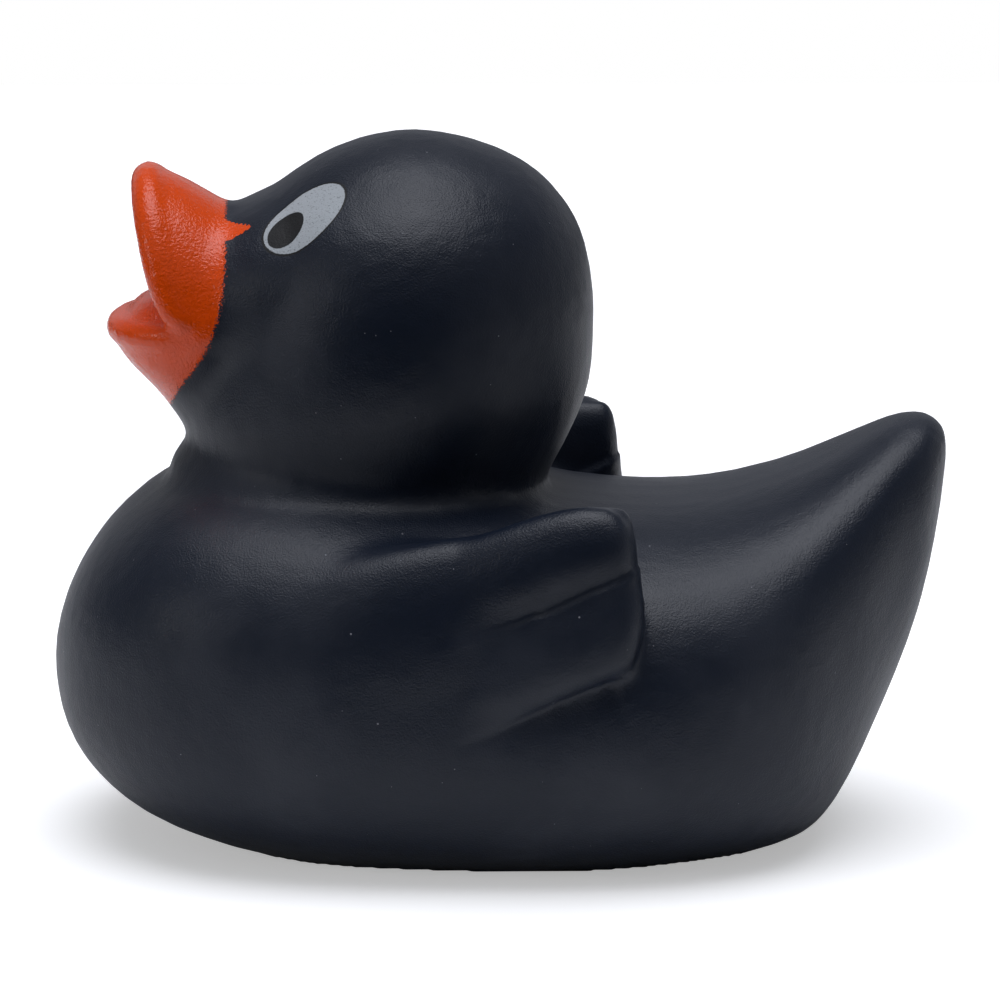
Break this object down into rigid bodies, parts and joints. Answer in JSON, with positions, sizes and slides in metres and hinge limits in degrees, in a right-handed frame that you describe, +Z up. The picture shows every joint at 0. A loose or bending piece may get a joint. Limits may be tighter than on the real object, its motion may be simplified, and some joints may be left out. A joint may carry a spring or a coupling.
{
  "type": "rubber duck",
  "caption": "Hollow moulded bath duck: round head, open upturned bill, raised wings, upswept tail, flat base with a small vent hole.",
  "frame": {"origin": "centre of the bounding box, at the flat base that the duck stands on", "axes": "+Z up, -X the way the bill points, +X towards the tail, the duck's left side at -Y; the mould parts on the plane Y = 0"},
  "size_m": [0.0891, 0.0612, 0.0704],
  "materials": {
    "duck": "matt black moulded vinyl; the bill is sprayed glossy orange and the eyes are printed"
  },
  "bodies": {
    "root": {"duck": "duck"}
  },
  "joints": []
}
